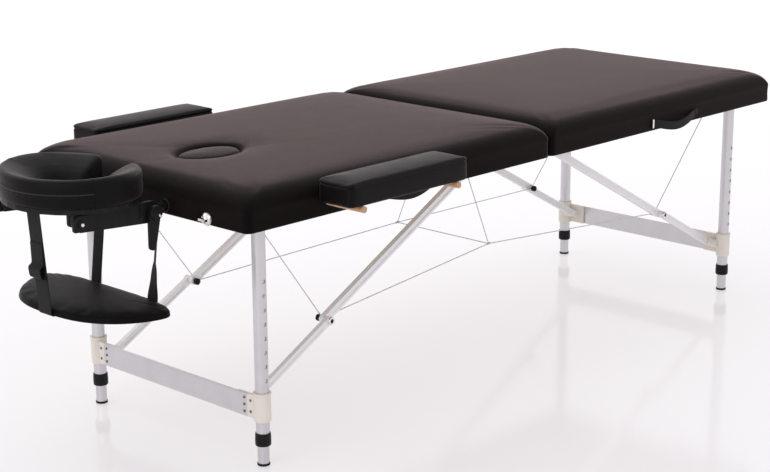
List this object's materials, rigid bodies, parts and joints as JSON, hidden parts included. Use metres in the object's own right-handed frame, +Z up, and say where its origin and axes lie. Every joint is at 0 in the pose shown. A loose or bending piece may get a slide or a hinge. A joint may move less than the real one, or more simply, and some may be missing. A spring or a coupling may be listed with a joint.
{
  "type": "massage table",
  "caption": "Folding massage table: padded top hinged in the middle, telescopic legs with folding braces, face cradle on pegs, hanging arm shelf and plug-in armrests.",
  "frame": {"origin": "on the floor, under the middle of the whole object's box", "axes": "+Z up, -X towards the head end with the face cradle, -Y towards the side with the handles"},
  "size_m": [2.148, 0.901, 0.6368],
  "materials": {
    "leather": "soft black grained cover",
    "aluminium": "satin",
    "plywood": "matte",
    "bracket": "moulded, cream",
    "black_plastic": "moulded, black",
    "steel": "satin",
    "dowel": "sanded beech",
    "webbing": "woven, black",
    "nickel": "bright"
  },
  "bodies": {
    "head_half": {"head_frame": "aluminium", "head_deck": "plywood", "head_pad": "leather", "head_hinge_leaf": "steel", "head_handle": "webbing", "cable_net": "steel", "near_head_leg_cable": "steel", "far_head_leg_cable": "steel"},
    "foot_half": {"foot_frame": "aluminium", "foot_deck": "plywood", "foot_pad": "leather", "foot_hinge_leaf": "steel", "foot_handle": "webbing", "near_foot_leg_cable": "steel", "far_foot_leg_cable": "steel"},
    "face_plug": {"face_plug": "leather"},
    "near_latch": {"near_latch": "nickel"},
    "far_latch": {"far_latch": "nickel"},
    "head_legs": {"head_cross_beam": "aluminium", "near_head_leg_tube": "aluminium", "near_head_bracket": "bracket", "far_head_leg_tube": "aluminium", "far_head_bracket": "bracket"},
    "near_head_lower_leg": {"near_head_inner_leg": "aluminium", "near_head_leg_tip": "black_plastic"},
    "near_head_button": {"near_head_snap_button": "steel"},
    "far_head_lower_leg": {"far_head_inner_leg": "aluminium", "far_head_leg_tip": "black_plastic"},
    "far_head_button": {"far_head_snap_button": "steel"},
    "head_upper_braces": {"near_head_upper_brace": "aluminium", "far_head_upper_brace": "aluminium"},
    "head_lower_braces": {"near_head_lower_brace": "aluminium", "far_head_lower_brace": "aluminium"},
    "foot_legs": {"foot_cross_beam": "aluminium", "near_foot_leg_tube": "aluminium", "near_foot_bracket": "bracket", "far_foot_leg_tube": "aluminium", "far_foot_bracket": "bracket"},
    "near_foot_lower_leg": {"near_foot_inner_leg": "aluminium", "near_foot_leg_tip": "black_plastic"},
    "near_foot_button": {"near_foot_snap_button": "steel"},
    "far_foot_lower_leg": {"far_foot_inner_leg": "aluminium", "far_foot_leg_tip": "black_plastic"},
    "far_foot_button": {"far_foot_snap_button": "steel"},
    "foot_upper_braces": {"near_foot_upper_brace": "aluminium", "far_foot_upper_brace": "aluminium"},
    "foot_lower_braces": {"near_foot_lower_brace": "aluminium", "far_foot_lower_brace": "aluminium"},
    "cradle_base": {"cradle_peg_bar": "steel"},
    "cradle_arms": {"cradle_arms": "black_plastic"},
    "cradle_head_rest": {"cradle_platform": "black_plastic", "cradle_cushion": "leather"},
    "arm_shelf": {"arm_shelf": "leather", "shelf_straps": "webbing"},
    "near_cam_lever": {"near_cam_lever": "black_plastic"},
    "near_armrest": {"near_armrest_pad": "leather", "near_armrest_dowels": "dowel"},
    "far_cam_lever": {"far_cam_lever": "black_plastic"},
    "far_armrest": {"far_armrest_pad": "leather", "far_armrest_dowels": "dowel"}
  },
  "joints": [
    {"name": "centre_fold", "type": "hinge", "parent": "head_half", "child": "foot_half", "pos_m": [0.144, 0, 0.5175], "axis": [0, 1, 0], "range_deg": [0, 150], "deforming": ["cable_net", "near_head_leg_cable", "far_head_leg_cable", "near_foot_leg_cable", "far_foot_leg_cable"]},
    {"name": "head_leg_fold", "type": "hinge", "parent": "head_half", "child": "head_legs", "pos_m": [-0.688, 0, 0.539], "axis": [0, -1, 0], "range_deg": [0, 88]},
    {"name": "head_upper_brace_fold", "type": "hinge", "parent": "head_half", "child": "head_upper_braces", "pos_m": [0.077, 0, 0.535], "axis": [0, 1, 0], "range_deg": [0, 28.66]},
    {"name": "head_lower_brace_fold", "type": "hinge", "parent": "head_legs", "child": "head_lower_braces", "pos_m": [-0.676, 0, 0.128], "axis": [0, -1, 0], "range_deg": [0, 63.34]},
    {"name": "foot_leg_fold", "type": "hinge", "parent": "foot_half", "child": "foot_legs", "pos_m": [1.004, 0, 0.539], "axis": [0, 1, 0], "range_deg": [0, 88]},
    {"name": "foot_upper_brace_fold", "type": "hinge", "parent": "foot_half", "child": "foot_upper_braces", "pos_m": [0.239, 0, 0.535], "axis": [0, -1, 0], "range_deg": [0, 28.66]},
    {"name": "foot_lower_brace_fold", "type": "hinge", "parent": "foot_legs", "child": "foot_lower_braces", "pos_m": [0.992, 0, 0.128], "axis": [0, 1, 0], "range_deg": [0, 63.34]},
    {"name": "near_head_leg_slide", "type": "slide", "parent": "head_legs", "child": "near_head_lower_leg", "axis": [0, 0, -1], "range_m": [-0.03, 0.18], "deforming": ["near_head_snap_button"]},
    {"name": "near_head_button_press", "type": "slide", "parent": "near_head_lower_leg", "child": "near_head_button", "axis": [0, 1, 0], "range_m": [0, 0.0045], "stiffness_N_per_m": 1500},
    {"name": "far_head_leg_slide", "type": "slide", "parent": "head_legs", "child": "far_head_lower_leg", "axis": [0, 0, -1], "range_m": [-0.03, 0.18], "deforming": ["far_head_snap_button"]},
    {"name": "far_head_button_press", "type": "slide", "parent": "far_head_lower_leg", "child": "far_head_button", "axis": [0, -1, 0], "range_m": [0, 0.0045], "stiffness_N_per_m": 1500},
    {"name": "near_foot_leg_slide", "type": "slide", "parent": "foot_legs", "child": "near_foot_lower_leg", "axis": [0, 0, -1], "range_m": [-0.03, 0.18], "deforming": ["near_foot_snap_button"]},
    {"name": "near_foot_button_press", "type": "slide", "parent": "near_foot_lower_leg", "child": "near_foot_button", "axis": [0, 1, 0], "range_m": [0, 0.0045], "stiffness_N_per_m": 1500},
    {"name": "far_foot_leg_slide", "type": "slide", "parent": "foot_legs", "child": "far_foot_lower_leg", "axis": [0, 0, -1], "range_m": [-0.03, 0.18], "deforming": ["far_foot_snap_button"]},
    {"name": "far_foot_button_press", "type": "slide", "parent": "far_foot_lower_leg", "child": "far_foot_button", "axis": [0, -1, 0], "range_m": [0, 0.0045], "stiffness_N_per_m": 1500},
    {"name": "cradle_slide", "type": "slide", "parent": "head_half", "child": "cradle_base", "axis": [-1, 0, 0], "range_m": [0, 0.075]},
    {"name": "cradle_arm_lift", "type": "hinge", "parent": "cradle_base", "child": "cradle_arms", "pos_m": [-0.838, 0, 0.541], "axis": [0, 1, 0], "range_deg": [-20, 12]},
    {"name": "cradle_tilt", "type": "hinge", "parent": "cradle_arms", "child": "cradle_head_rest", "pos_m": [-1.0115, 0, 0.548], "axis": [0, -1, 0], "range_deg": [0, 35]},
    {"name": "arm_shelf_swing", "type": "hinge", "parent": "cradle_arms", "child": "arm_shelf", "pos_m": [-0.922, 0, 0.541], "axis": [0, 1, 0], "range_deg": [-12, 12], "deforming": ["shelf_straps"]},
    {"name": "face_plug_lift", "type": "slide", "parent": "head_half", "child": "face_plug", "axis": [0, 0, 1], "range_m": [0, 0.06]},
    {"name": "near_cam_lever_turn", "type": "hinge", "parent": "cradle_arms", "child": "near_cam_lever", "pos_m": [-0.838, 0, 0.541], "axis": [0, 1, 0], "range_deg": [0, 85]},
    {"name": "near_armrest_slide", "type": "slide", "parent": "head_half", "child": "near_armrest", "axis": [0, -1, 0], "range_m": [0, 0.05]},
    {"name": "near_latch_turn", "type": "hinge", "parent": "head_half", "child": "near_latch", "pos_m": [-0.786, -0.231, 0.534], "axis": [1, 0, 0], "range_deg": [0, 90]},
    {"name": "far_cam_lever_turn", "type": "hinge", "parent": "cradle_arms", "child": "far_cam_lever", "pos_m": [-0.838, 0, 0.541], "axis": [0, 1, 0], "range_deg": [0, 85]},
    {"name": "far_armrest_slide", "type": "slide", "parent": "head_half", "child": "far_armrest", "axis": [0, 1, 0], "range_m": [0, 0.05]},
    {"name": "far_latch_turn", "type": "hinge", "parent": "head_half", "child": "far_latch", "pos_m": [-0.786, 0.231, 0.534], "axis": [1, 0, 0], "range_deg": [0, 90]}
  ],
  "couplings": [
    {"joint": "head_leg_fold", "follows": "centre_fold", "ratio": 0.58667},
    {"joint": "head_upper_brace_fold", "follows": "centre_fold", "ratio": 0.19106},
    {"joint": "head_lower_brace_fold", "follows": "centre_fold", "ratio": 0.42228},
    {"joint": "foot_leg_fold", "follows": "centre_fold", "ratio": 0.58667},
    {"joint": "foot_upper_brace_fold", "follows": "centre_fold", "ratio": 0.19106},
    {"joint": "foot_lower_brace_fold", "follows": "centre_fold", "ratio": 0.42228}
  ]
}
